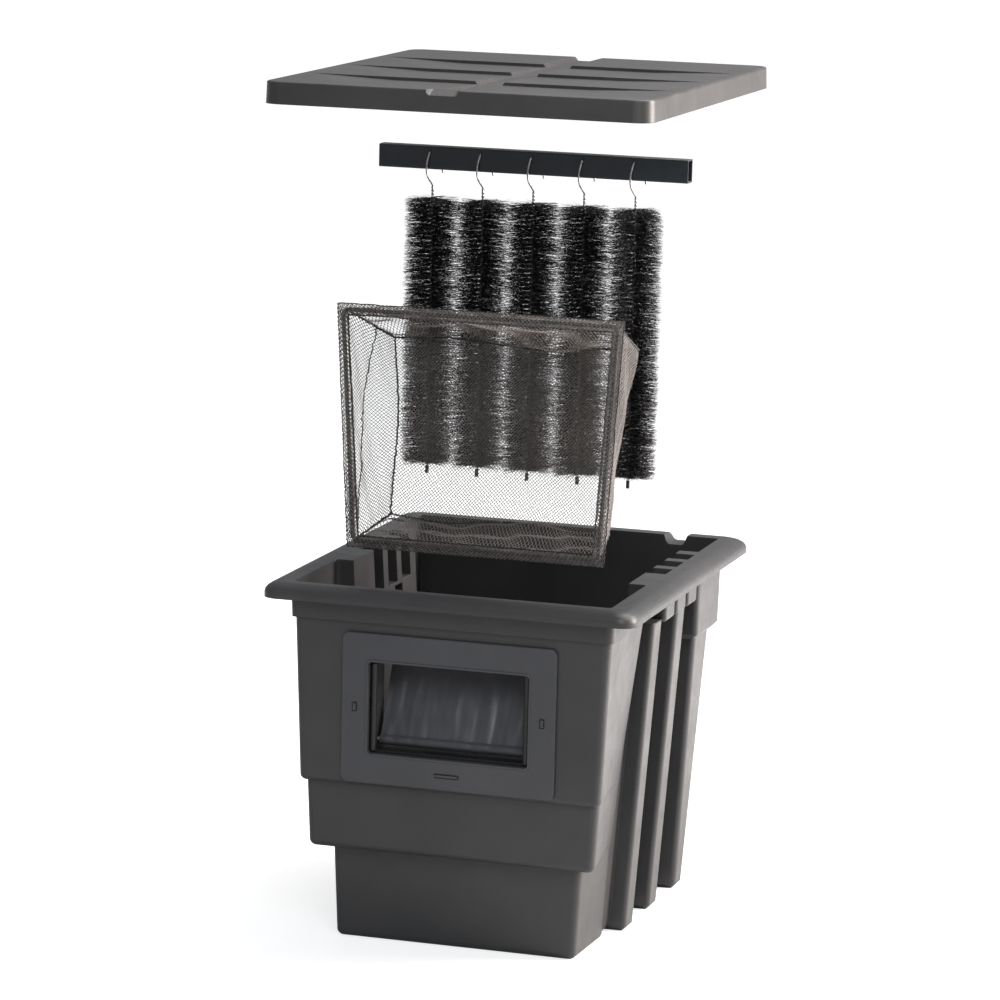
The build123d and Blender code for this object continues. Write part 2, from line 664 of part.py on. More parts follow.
def net_bag():
    return net_shell(0.0) - net_shell(NET_SKIN)


# ---------------------------------------------------------------- brush rail and brushes

RAIL_TOP_Z = level(POCKET_BOTTOM - WALL) + RAIL_HEIGHT + RAIL_LIFT
HOLE_Z = RAIL_TOP_Z - HOOK_HOLE_DROP


def brush_x(index):
    return (index - (BRUSH_COUNT - 1) / 2) * BRUSH_PITCH


def brush_rail():
    half = RAIL_LENGTH / 2
    rail = block(-half, half, RAIL_Y - RAIL_WIDTH / 2, RAIL_Y + RAIL_WIDTH / 2,
                 RAIL_TOP_Z - RAIL_HEIGHT, RAIL_TOP_Z)
    rail = fillet(rail.edges().filter_by(Axis.X), RAIL_EDGE_ROUND)
    inside = block(-half - OVERRUN, half + OVERRUN, RAIL_Y - RAIL_WIDTH / 2 + RAIL_WALL,
                   RAIL_Y + RAIL_WIDTH / 2 - RAIL_WALL, RAIL_TOP_Z - RAIL_HEIGHT + RAIL_WALL,
                   RAIL_TOP_Z - RAIL_WALL)
    rail -= inside
    for index in range(BRUSH_COUNT):
        hole = Pos(brush_x(index), RAIL_Y, HOLE_Z) * Rot(90, 0, 0)
        rail -= hole * Cylinder(WIRE_RADIUS + HOOK_CLEARANCE, 2 * RAIL_WIDTH)
    return rail


def brush_wire(index):
    """Galvanised hook through the rail, running down into the brush's stem."""
    x = brush_x(index)
    front = RAIL_Y - RAIL_WIDTH / 2 - WIRE_RADIUS - HOOK_STANDOFF
    back = RAIL_Y + RAIL_WIDTH / 2 + WIRE_RADIUS + HOOK_STANDOFF
    under = RAIL_TOP_Z - RAIL_HEIGHT
    points = [
        (x + HOOK_TAIL[0], back, under - HOOK_TAIL[1]),
        (x, back, HOLE_Z),
        (x, front, HOLE_Z),
        (x - HOOK_BEND_LEFT, front, under),
        (x, RAIL_Y, RAIL_TOP_Z - STEM_START),
        (x, RAIL_Y, RAIL_TOP_Z - STEM_END),
    ]
    path = FilletPolyline(*points, radius=WIRE_BEND)
    return sweep((path ^ 0) * Circle(WIRE_RADIUS), path, transition=Transition.ROUND)


def brush_bristles(index):
    top = RAIL_TOP_Z - BRISTLE_START
    bottom = RAIL_TOP_Z - BRISTLE_END
    place = Pos(brush_x(index), RAIL_Y, (top + bottom) / 2)
    bundle = Cylinder(BRISTLE_RADIUS, top - bottom)
    bundle = fillet(bundle.edges(), BRISTLE_EDGE_ROUND)
    return place * (bundle - Cylinder(BRISTLE_BORE, 2 * (top - bottom)))


def brush_tip(index):
    """Crimped sleeve that closes the lower end of the stem."""
    x = brush_x(index)
    stem_end = RAIL_TOP_Z - STEM_END
    top = stem_end + TIP_GRIP
    sleeve = rod_between((x, RAIL_Y, top), (x, RAIL_Y, top - TIP_LENGTH), TIP_RADIUS)
    sleeve = fillet(sleeve.edges(), TIP_ROUND)
    return sleeve - rod_between((x, RAIL_Y, stem_end), (x, RAIL_Y, top), WIRE_RADIUS + TIP_CLEARANCE)


# ---------------------------------------------------------------- lid

LID_TOP_Z = level(0.0) + LID_WALL + LID_SINK + LID_LIFT


def lid_block(inset):
    """Lid as a filled block whose sides spread a little towards the bottom."""
    spread = LID_SKIRT * tan(radians(LID_DRAFT))
    width = LID_WIDTH - 2 * inset - 2 * spread
    length = LID_LENGTH - 2 * inset - 2 * spread
    base = extrude(RectangleRounded(width, length, LID_CORNER - inset), LID_SKIRT, taper=-LID_DRAFT)
    return Pos(0, 0, LID_TOP_Z) * base.rotate(Axis.X, 180)


def lid_channel(grow):
    """Trough down the middle of the lid that runs out through its rear edge."""
    front = -LID_LENGTH / 2 + LID_CHANNEL_FRONT - grow
    rear = LID_LENGTH / 2 + OVERRUN
    profile = RectangleRounded(LID_CHANNEL + 2 * grow, rear - front, LID_CHANNEL_CORNER)
    trough = extrude(profile, LID_SINK, taper=LID_CHANNEL_DRAFT)
    return Pos(0, (front + rear) / 2, LID_TOP_Z) * trough.rotate(Axis.X, 180)


def side_profile(x, points):
    """Flat outline across the lid at x, from (y, z) points."""
    return make_face(Polyline(*[(x, y, z) for y, z in points], close=True))


def lid_scoop(grow):
    """Finger scoop: a ramp down to the front edge of the lid, its two sides rounded into it."""
    rear = -LID_LENGTH / 2 + LID_SCOOP_LENGTH + grow
    front = -LID_LENGTH / 2 - LID_SCOOP_LENGTH
    fall = LID_SCOOP_DEPTH / LID_SCOOP_LENGTH * (rear - front)
    half = LID_SCOOP_WIDTH / 2 + grow
    over = LID_TOP_Z + OVERRUN
    points = [(rear, LID_TOP_Z), (front, LID_TOP_Z - fall), (front, over), (rear, over)]
    ramp = extrude(side_profile(LID_SCOOP_X - half, points), 2 * half, dir=(1, 0, 0))
    slope = [edge for edge in ramp.edges() if edge.length > rear - front and edge.center().Z < LID_TOP_Z]
    slope = [edge for edge in slope if abs(edge.center().X - LID_SCOOP_X) > half / 2]
    return fillet(slope, LID_SCOOP_ROUND)


def lid_board_slopes(grow):
    """Wedges that leave each board of the lid sloping down to the next one and fading out at the sides."""
    row = LID_LENGTH / LID_BOARDS
    outer = LID_WIDTH / 2 - LID_STEP_MARGIN
    full = LID_STEP_FULL * outer
    slopes = []
    for index in range(LID_BOARDS - 1):
        front = -LID_LENGTH / 2 + index * row
        rear = front + row + grow
        points = [(front, LID_TOP_Z), (rear, LID_TOP_Z), (rear, LID_TOP_Z - LID_STEP)]
        slopes.append(extrude(side_profile(-full, points), 2 * full, dir=(1, 0, 0)))
        for side in (-1, 1):
            slopes.append(loft([side_profile(side * full, points), Vertex(side * outer, rear, LID_TOP_Z)]))
    return slopes


def pressed(solid, grow):
    """The lid's block with its channel, finger scoop and sloping boards taken out of the top."""
    solid -= lid_channel(grow)
    solid -= lid_scoop(grow)
    for slope in lid_board_slopes(grow):
        solid -= slope
    return solid


def lid():
    outside = lid_block(0.0)
    outside = fillet(outside.faces().sort_by(Axis.Z)[-1].edges(), LID_EDGE_ROUND)
    inside = pressed(lid_block(LID_WALL), LID_WALL)
    return pressed(outside, 0.0) - Pos(0, 0, -LID_WALL) * inside


# ---------------------------------------------------------------- write the parts

def main():
    os.makedirs("parts", exist_ok=True)
    nodes = {
        "tub": tub(),
        "weir_frame": weir_frame(),
        "trim_plate": trim_plate(),
        "front_gasket": front_gasket(),
        "rear_gasket": rear_gasket(),
        "frame_screws": frame_screws(),
        "flap_panel": flap_panel(),
        "flap_hinge_pins": flap_hinge_pins(),
        "flap_float": flap_float(),
        "flap_bumper": flap_bumper(),
        "net_bag": net_bag(),
        "net_hem": net_hem(),
        "net_frame": net_frame(),
        "brush_rail": brush_rail(),
        "lid": lid(),
    }
    for index in range(BRUSH_COUNT):
        number = index + 1
        nodes[f"brush_{number}_wire"] = brush_wire(index)
        nodes[f"brush_{number}_bristles"] = brush_bristles(index)
        nodes[f"brush_{number}_tip"] = brush_tip(index)
    for name, part in nodes.items():
        export_step(part, f"parts/{name}.step")


main()
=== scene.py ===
"""Pond skimmer filter, opened out: the looks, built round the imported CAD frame. Metres, +Z up."""
import json
import math

import bpy
import numpy as np
from mathutils import Matrix, Vector


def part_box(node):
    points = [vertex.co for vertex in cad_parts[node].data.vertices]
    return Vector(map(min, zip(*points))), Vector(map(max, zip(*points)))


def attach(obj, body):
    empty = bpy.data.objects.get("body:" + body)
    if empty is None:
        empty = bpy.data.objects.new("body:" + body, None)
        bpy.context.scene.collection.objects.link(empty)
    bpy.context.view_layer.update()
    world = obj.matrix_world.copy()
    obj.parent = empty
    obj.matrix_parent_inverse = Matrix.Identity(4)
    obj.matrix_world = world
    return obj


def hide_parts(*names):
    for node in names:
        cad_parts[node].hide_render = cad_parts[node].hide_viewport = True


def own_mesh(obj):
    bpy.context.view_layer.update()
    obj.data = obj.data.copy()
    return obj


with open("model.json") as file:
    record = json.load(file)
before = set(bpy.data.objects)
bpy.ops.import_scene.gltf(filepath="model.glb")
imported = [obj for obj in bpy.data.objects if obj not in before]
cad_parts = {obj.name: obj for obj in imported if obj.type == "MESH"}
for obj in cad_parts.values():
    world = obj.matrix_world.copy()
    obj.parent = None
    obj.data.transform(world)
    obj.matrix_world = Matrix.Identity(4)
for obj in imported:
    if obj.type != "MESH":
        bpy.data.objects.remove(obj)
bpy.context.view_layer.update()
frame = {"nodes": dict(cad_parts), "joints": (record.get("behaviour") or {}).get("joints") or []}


# ------------------------------------------------------------------ places read from the frame

def node_points(node):
    """All vertices of a CAD node, as rows of x, y, z."""
    mesh = frame["nodes"][node].data
    points = np.zeros(len(mesh.vertices) * 3)
    mesh.vertices.foreach_get("co", points)
    return points.reshape(-1, 3)


def corner(node, direction):
    """The node's vertex that lies furthest in a direction."""
    points = node_points(node)
    return points[np.argmax(points @ np.array(direction, float))].copy()


RIM_CENTRE = (0.0, 0.0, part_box("tub")[1][2])
HINGES = {joint["name"]: joint for joint in frame["joints"]}


# ------------------------------------------------------------------ mesh helpers

def mesh_piece(name, points, faces, material, body, smooth=True, slot=None):
    """Makes a mesh object that rides on a CAD body."""
    mesh = bpy.data.meshes.new(name)
    points = np.asarray(points, np.float32)
    mesh.vertices.add(len(points))
    mesh.vertices.foreach_set("co", points.ravel())
    sizes = np.array([len(group[0]) for group in faces for _ in range(len(group))], np.int32)
    loops = np.concatenate([np.asarray(group, np.int32).ravel() for group in faces])
    mesh.loops.add(len(loops))
    mesh.loops.foreach_set("vertex_index", loops)
    mesh.polygons.add(len(sizes))
    starts = np.concatenate([[0], np.cumsum(sizes)[:-1]]).astype(np.int32)
    mesh.polygons.foreach_set("loop_start", starts)
    mesh.polygons.foreach_set("loop_total", sizes)
    mesh.polygons.foreach_set("use_smooth", np.full(len(sizes), smooth))
    mesh.update(calc_edges=True)
    mesh.validate()
    piece = bpy.data.objects.new(name, mesh)
    bpy.context.scene.collection.objects.link(piece)
    mesh.materials.append(material)
    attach(piece, body)
    return piece


def unit(rows):
    """Each row made one unit long."""
    length = np.linalg.norm(rows, axis=-1, keepdims=True)
    return rows / np.maximum(length, 1e-12)


def across(direction):
    """Two unit vectors square to each row of directions."""
    helper = np.where(np.abs(direction[..., 2:3]) < 0.9, [[0.0, 0.0, 1.0]], [[1.0, 0.0, 0.0]])
    first = unit(np.cross(direction, helper))
    return first, np.cross(direction, first)


def sticks(rows, radii, sides=3):
    """Many separate thin prisms. rows: (count, stations, 3); radii: (count, stations)."""
    count, stations, _ = rows.shape
    ahead = unit(np.gradient(rows, axis=1))
    first, second = across(ahead[:, :1].repeat(stations, 1))
    turn = 2 * np.pi * np.arange(sides) / sides
    ring = first[:, :, None] * np.cos(turn)[:, None] + second[:, :, None] * np.sin(turn)[:, None]
    points = rows[:, :, None] + ring * radii[:, :, None, None]
    index = np.arange(count * stations * sides).reshape(count, stations, sides)
    near, far = index[:, :-1], index[:, 1:]
    quads = np.stack([near, np.roll(near, -1, 2), np.roll(far, -1, 2), far], -1).reshape(-1, 4)
    return points.reshape(-1, 3), [quads]


def smooth_path(controls, per_span=8, closed=False):
    """Catmull-Rom curve through the control points."""
    controls = np.asarray(controls, float)
    if closed:
        padded = np.concatenate([controls[-1:], controls, controls[:2]])
    else:
        before = 2 * controls[:1] - controls[1:2]
        after = 2 * controls[-1:] - controls[-2:-1]
        padded = np.concatenate([before, controls, after])
    share = np.linspace(0, 1, per_span, endpoint=False)[:, None]
    spans = []
    for a, b, c, d in zip(padded, padded[1:], padded[2:], padded[3:]):
        spans.append(0.5 * (2 * b + (c - a) * share + (2 * a - 5 * b + 4 * c - d) * share ** 2
                            + (3 * b - a - 3 * c + d) * share ** 3))
    path = np.concatenate(spans)
    return path if closed else np.concatenate([path, controls[-1:]])


def tube(path, radius, sides, closed=False):
    """One tube along a path, with a frame carried along it so that it doesn't twist."""
    path = np.asarray(path, float)
    if closed:
        ahead = unit(np.roll(path, -1, 0) - np.roll(path, 1, 0))
    else:
        ahead = unit(np.gradient(path, axis=0))
    first = np.zeros_like(path)
    first[0] = across(ahead[:1])[0][0]
    for i in range(1, len(path)):
        carried = first[i - 1] - ahead[i] * (first[i - 1] @ ahead[i])
        first[i] = carried / np.linalg.norm(carried)
    second = np.cross(ahead, first)
    turn = 2 * np.pi * np.arange(sides) / sides
    radii = np.broadcast_to(radius, (len(path),))
    ring = first[:, None] * np.cos(turn)[:, None] + second[:, None] * np.sin(turn)[:, None]
    points = path[:, None] + ring * radii[:, None, None]
    index = np.arange(len(path) * sides).reshape(len(path), sides)
    far = np.roll(index, -1, 0) if closed else index[1:]
    near = index if closed else index[:-1]
    quads = np.stack([near, np.roll(near, -1, 1), np.roll(far, -1, 1), far], -1).reshape(-1, 4)
    faces = [quads]
    if not closed:
        faces.append(np.array([index[0, ::-1], index[-1]]))
    return points.reshape(-1, 3), faces


def merged(shapes):
    """Joins (points, faces) shapes into one."""
    points, groups, base = [], {}, 0
    for shape_points, shape_faces in shapes:
        for group in shape_faces:
            group = np.asarray(group)
            groups.setdefault(group.shape[1], []).append(group + base)
        points.append(shape_points)
        base += len(shape_points)
    return np.concatenate(points), [np.concatenate(g) for g in groups.values()]


def smoothstep(low, high, value):
    """0 below low, 1 above high, and a smooth rise between."""
    share = np.clip((value - low) / (high - low), 0, 1)
    return share * share * (3 - 2 * share)


# ------------------------------------------------------------------ materials

class Shader:
    """A material's node tree with short calls for the nodes that are used here."""

    def __init__(self, name):
        self.material = bpy.data.materials.new(name)
        self.material.use_nodes = True
        self.tree = self.material.node_tree
        self.tree.nodes.clear()
        self.output = self.tree.nodes.new("ShaderNodeOutputMaterial")
        self.surface = self.tree.nodes.new("ShaderNodeBsdfPrincipled")
        self.tree.links.new(self.surface.outputs[0], self.output.inputs[0])
        self.place = self.tree.nodes.new("ShaderNodeTexCoord").outputs["Object"]

    def put(self, socket, value):
        """Feeds a socket from another node or sets its value."""
        if isinstance(value, bpy.types.NodeSocket):
            self.tree.links.new(value, socket)
        else:
            socket.default_value = value

    def scaled(self, stretch):
        """The place on the object, scaled along x, y and z."""
        node = self.tree.nodes.new("ShaderNodeMapping")
        self.put(node.inputs["Vector"], self.place)
        node.inputs["Scale"].default_value = stretch
        return node.outputs[0]

    def noise(self, size, detail=2.0, rough=0.5, stretch=None):
        """Noise whose blobs are about `size` metres across."""
        node = self.tree.nodes.new("ShaderNodeTexNoise")
        self.put(node.inputs["Vector"], self.scaled(stretch) if stretch else self.place)
        node.inputs["Scale"].default_value = 1.0 / size
        node.inputs["Detail"].default_value = detail
        node.inputs["Roughness"].default_value = rough
        return node.outputs["Fac"]

    def remap(self, value, low, high, to_low=0.0, to_high=1.0):
        """A value's range low..high spread over to_low..to_high, and held at the ends."""
        node = self.tree.nodes.new("ShaderNodeMapRange")
        self.put(node.inputs["Value"], value)
        for key, number in (("From Min", low), ("From Max", high), ("To Min", to_low), ("To Max", to_high)):
            node.inputs[key].default_value = number
        return node.outputs[0]

    def maths(self, operation, a, b):
        node = self.tree.nodes.new("ShaderNodeMath")
        node.operation = operation
        self.put(node.inputs[0], a)
        self.put(node.inputs[1], b)
        return node.outputs[0]

    def blend(self, share, a, b):
        """Colour a where the share is 0, colour b where it is 1."""
        node = self.tree.nodes.new("ShaderNodeMix")
        node.data_type = "RGBA"
        self.put(node.inputs["Factor"], share)
        self.put(node.inputs["A"], (*a, 1.0) if isinstance(a, tuple) else a)
        self.put(node.inputs["B"], (*b, 1.0) if isinstance(b, tuple) else b)
        return node.outputs["Result"]

    def bump(self, height, strength, distance, below=None):
        """Fine relief, `distance` metres deep, on top of the normals `below`."""
        node = self.tree.nodes.new("ShaderNodeBump")
        self.put(node.inputs["Height"], height)
        node.inputs["Strength"].default_value = strength
        node.inputs["Distance"].default_value = distance
        if below is not None:
            self.tree.links.new(below, node.inputs["Normal"])
        return node.outputs[0]

    def facing_up(self):
        """1 on faces that look straight up, 0 on upright ones."""
        split = self.tree.nodes.new("ShaderNodeSeparateXYZ")
        self.tree.links.new(self.tree.nodes.new("ShaderNodeNewGeometry").outputs["Normal"], split.inputs[0])
        return split.outputs["Z"]

    def soft_edges(self, radius):
        """Normals that round over the hard edges of a moulding."""
        node = self.tree.nodes.new("ShaderNodeBevel")
        node.samples = 4
        node.inputs["Radius"].default_value = radius
        return node.outputs[0]

    def finish(self, colour, roughness, normal=None, metallic=0.0, specular=0.5):
        self.put(self.surface.inputs["Base Color"], (*colour, 1.0) if isinstance(colour, tuple) else colour)
        self.put(self.surface.inputs["Roughness"], roughness)
        self.put(self.surface.inputs["Metallic"], metallic)
        self.put(self.surface.inputs["Specular IOR Level"], specular)
        if normal is not None:
            self.tree.links.new(normal, self.surface.inputs["Normal"])
        return self.material


EDGE_ROUND = 0.0014
TUB_EDGE_ROUND = 0.0026
SHARP_ANGLE = math.radians(28)


def moulded_plastic(name, dark, light, roughness, grain=0.0007, grain_height=0.00006, scuffs=0.35,
                    edge_round=EDGE_ROUND):
    """Moulded polythene: cloudy colour, fine pebble grain, faint flow marks, and light scuffs."""
    shader = Shader(name)
    cloud = shader.noise(size=0.16, detail=3, rough=0.55)
    colour = shader.blend(shader.remap(cloud, 0.35, 0.65), dark, light)
    scratch = shader.noise(size=0.004, detail=4, rough=0.7, stretch=(0.25, 0.25, 3.0))
    patch = shader.noise(size=0.09, detail=2, rough=0.6)
    worn = shader.maths("MULTIPLY", shader.remap(scratch, 0.62, 0.74, to_high=scuffs),
                        shader.remap(patch, 0.5, 0.68))
    pale = tuple(min(1.0, 1.9 * channel + 0.012) for channel in light)
    colour = shader.blend(worn, colour, pale)
    dust = shader.noise(size=0.035, detail=5, rough=0.65)
    rough = shader.remap(dust, 0.3, 0.7, roughness - 0.06, roughness + 0.07)
    edges = shader.soft_edges(edge_round)
    marks = shader.noise(size=0.05, detail=2, rough=0.5, stretch=(1.0, 1.0, 0.35))
    flow = shader.bump(marks, strength=0.5, distance=0.0006, below=edges)
    pebble = shader.bump(shader.noise(grain, rough=0.6), strength=0.5, distance=grain_height, below=flow)
    return shader.finish(colour, rough, pebble)


def rippled_plastic(name, dark, light, roughness):
    """Thin flap sheet whose surface ripples softly from side to side, so that reflections run down it."""
    shader = Shader(name)
    colour = shader.blend(shader.remap(shader.noise(size=0.05, detail=3), 0.35, 0.65), dark, light)
    wear = shader.noise(size=0.02, detail=4, rough=0.6)
    rough = shader.remap(wear, 0.3, 0.7, roughness - 0.05, roughness + 0.06)
    waves = shader.noise(size=0.016, detail=1, rough=0.4, stretch=(1.0, 0.22, 0.22))
    ripple = shader.bump(waves, strength=0.9, distance=0.0035)
    fine = shader.bump(shader.noise(size=0.0012), strength=0.3, distance=0.00004, below=ripple)
    return shader.finish(colour, rough, fine)


def brushed_metal(name, dark, light, roughness):
    """Bare metal with fine streaks along x."""
    shader = Shader(name)
    streak = shader.noise(size=0.0012, detail=3, rough=0.6, stretch=(0.05, 1.0, 1.0))
    colour = shader.blend(shader.remap(streak, 0.3, 0.7), dark, light)
    wear = shader.noise(size=0.01, detail=3)
    rough = shader.remap(wear, 0.3, 0.7, roughness - 0.08, roughness + 0.08)
    return shader.finish(colour, rough, shader.bump(streak, strength=0.3, distance=0.00003), metallic=1.0)


def coated_metal(name, dark, light, roughness, dust=(0.03, 0.03, 0.03)):
    """Satin powder coat with a fine orange-peel surface and rubbed streaks; its upper faces take a paler
    colour, painted light standing in for the light from above.
    """
    shader = Shader(name)
    cloud = shader.noise(size=0.05, detail=4, rough=0.6, stretch=(0.3, 1.0, 1.0))
    colour = shader.blend(shader.remap(cloud, 0.35, 0.65), dark, light)
    # painted light: faces that look up are blended to the pale colour passed as dust, which stands in for
    # the light from above and is not dust
    colour = shader.blend(shader.remap(shader.facing_up(), 0.35, 0.8), colour, dust)
    wear = shader.noise(size=0.02, detail=3)
    rough = shader.remap(wear, 0.3, 0.7, roughness - 0.05, roughness + 0.08)
    edges = shader.soft_edges(EDGE_ROUND)
    peel = shader.bump(shader.noise(size=0.0016), strength=0.35, distance=0.00006, below=edges)
    return shader.finish(colour, rough, peel, specular=0.6)


def rubber(name, dark, light):
    """Dull black rubber with a fine grain."""
    shader = Shader(name)
    colour = shader.blend(shader.noise(size=0.01, detail=4), dark, light)
    rough = shader.remap(shader.noise(size=0.006, detail=3), 0.3, 0.7, 0.62, 0.82)
    grain = shader.bump(shader.noise(size=0.0006), strength=0.5, distance=0.00008)
    return shader.finish(colour, rough, grain, specular=0.35)


def foam(name, dark, light, cell=0.0016):
    """Closed-cell foam: dark between the cells, lighter on them."""
    shader = Shader(name)
    cells = shader.tree.nodes.new("ShaderNodeTexVoronoi")
    shader.put(cells.inputs["Vector"], shader.place)
    cells.inputs["Scale"].default_value = 1 / cell
    distance = cells.outputs["Distance"]
    # painted shade: the colour follows the relief, darker where the cells' surface lies low and lighter
    # where it stands high
    colour = shader.blend(shader.remap(distance, 0.0, 0.7), dark, light)
    return shader.finish(colour, 0.85, shader.bump(distance, strength=0.6, distance=0.0004), specular=0.25)


def thread(name, dark, light, roughness, twist=0.0009, specular=0.4, glint=None):
    """Nylon or polyester yarn: colour that changes from strand to strand, with a twisted relief."""
    shader = Shader(name)
    strand = shader.noise(size=0.004, detail=3, rough=0.6)
    colour = shader.blend(shader.remap(strand, 0.3, 0.7), dark, light)
    if glint:
        sparkle = shader.noise(size=0.0026, detail=1)
        colour = shader.blend(shader.remap(sparkle, 0.60, 0.66), colour, glint)
    rough = shader.remap(shader.noise(size=0.002), 0.3, 0.7, roughness - 0.08, roughness + 0.1)
    relief = shader.bump(shader.noise(twist), strength=0.6, distance=0.00015)
    return shader.finish(colour, rough, relief, specular=specular)


TUB_PLASTIC = moulded_plastic("tub_plastic", (0.036, 0.036, 0.037), (0.046, 0.045, 0.045), 0.37,
                              edge_round=TUB_EDGE_ROUND)
LID_PLASTIC = moulded_plastic("lid_plastic", (0.034, 0.032, 0.031), (0.046, 0.043, 0.041), 0.42,
                              grain=0.0011, grain_height=0.00012)
FRAME_PLASTIC = moulded_plastic("frame_plastic", (0.010, 0.010, 0.011), (0.016, 0.016, 0.017), 0.30)
PLATE_PLASTIC = moulded_plastic("plate_plastic", (0.051, 0.052, 0.057), (0.060, 0.061, 0.067), 0.42)
FLAP_PLASTIC = rippled_plastic("flap_plastic", (0.050, 0.051, 0.056), (0.064, 0.065, 0.071), 0.34)
GASKET_RUBBER = rubber("gasket_rubber", (0.008, 0.008, 0.008), (0.02, 0.02, 0.02))
SCREW_STEEL = brushed_metal("screw_steel", (0.38, 0.38, 0.39), (0.62, 0.62, 0.63), 0.3)
FLOAT_FOAM = foam("float_foam", (0.012, 0.012, 0.013), (0.03, 0.03, 0.032))
NET_THREAD = thread("net_mesh", (0.110, 0.100, 0.093), (0.255, 0.232, 0.216), 0.5)
NET_SLEEVE = thread("net_sleeve", (0.080, 0.072, 0.066), (0.210, 0.190, 0.176), 0.5)
NET_BINDING = thread("net_binding", (0.012, 0.011, 0.010), (0.045, 0.041, 0.038), 0.55)
NET_ROD = coated_metal("frame_rod", (0.012, 0.012, 0.012), (0.025, 0.024, 0.023), 0.4)
# the pale colour passed as dust is painted light on the rail's top face, where the light from above falls
RAIL_METAL = coated_metal("rail_metal", (0.012, 0.016, 0.020), (0.019, 0.025, 0.030), 0.33,
                          dust=(0.20, 0.205, 0.19))
HOOK_WIRE = brushed_metal("hook_wire", (0.28, 0.27, 0.27), (0.52, 0.50, 0.50), 0.33)
BRISTLE_NYLON = thread("bristle_nylon", (0.003, 0.003, 0.003), (0.010, 0.010, 0.010), 0.30,
                       specular=0.5, glint=(0.20, 0.19, 0.185))
TIP_PLASTIC = moulded_plastic("tip_plastic", (0.008, 0.008, 0.008), (0.014, 0.014, 0.014), 0.4)

CAD_MATERIALS = {
    "tub": TUB_PLASTIC,
    "weir_frame": FRAME_PLASTIC,
    "trim_plate": PLATE_PLASTIC,
    "front_gasket": GASKET_RUBBER,
    "rear_gasket": GASKET_RUBBER,
    "frame_screws": SCREW_STEEL,
    "flap_panel": FLAP_PLASTIC,
    "flap_hinge_pins": SCREW_STEEL,
    "flap_float": FLOAT_FOAM,
    "flap_bumper": GASKET_RUBBER,
    "net_bag": NET_THREAD,
    "net_hem": NET_BINDING,
    "net_frame": NET_ROD,
    "brush_rail": RAIL_METAL,
    "lid": LID_PLASTIC,
}
BRUSH_NUMBERS = [n[len("brush_"):-len("_wire")] for n in frame["nodes"] if n.endswith("_wire")]
for number in BRUSH_NUMBERS:
    CAD_MATERIALS[f"brush_{number}_wire"] = HOOK_WIRE
    CAD_MATERIALS[f"brush_{number}_bristles"] = BRISTLE_NYLON
    CAD_MATERIALS[f"brush_{number}_tip"] = TIP_PLASTIC


def dress_cad_nodes():
    """Gives every CAD node its material, smooth faces, and crisp edges where they are sharp."""
    for name, node in frame["nodes"].items():
        node.data.materials.clear()
        node.data.materials.append(CAD_MATERIALS[name])
        node.data.shade_smooth()
        node.data.set_sharp_from_angle(angle=SHARP_ANGLE)


# ------------------------------------------------------------------ brushes

FILAMENTS = 12500
FILAMENT_THICK = 0.00019
FILAMENT_REACH = 0.0352
FILAMENT_SHORTEST = 0.70  # of the full reach
FILAMENT_LEAN = 0.085
FILAMENT_BEND = 0.09
FILAMENT_DROOP = 0.06
WRAPS = 61  # turns of the filaments round the stem
WRAP_SPREAD = 1.3
BUNDLE_END = 0.03  # the share of the bundle's height that fans out at each end
END_FAN = 0.10
END_SHORTER = 0.05
HOLLOWS = 0.06  # how much shorter the filaments are in the thin patches
STRAY_ENDS = 0.003  # how far filaments may stand past the bundle's ends

STEM_WIRE = 0.00095
STEM_PITCH = 0.0085
STEPS_PER_TURN = 8
STEM_PAST_END = 0.001
HOOK_THICK = 0.0012
HOOK_CLEAR = 0.0028  # from the rail's side to the middle of the wire
HOOK_BEND = 0.0018
HOOK_STRAIGHT = 0.004  # half of the straight part inside the rail
TAIL_RIGHT = (0.0085, 0.0060, 0.0012)  # how far right the free end stands, from its tip up
SHANK_LEFT = (0.0010, 0.0034, 0.0040, 0.0030, 0.0006)  # how far left the shank stands, from the top down
STEM_JOIN = 0.021  # from the rail's underside to where the hook meets the stem's middle line


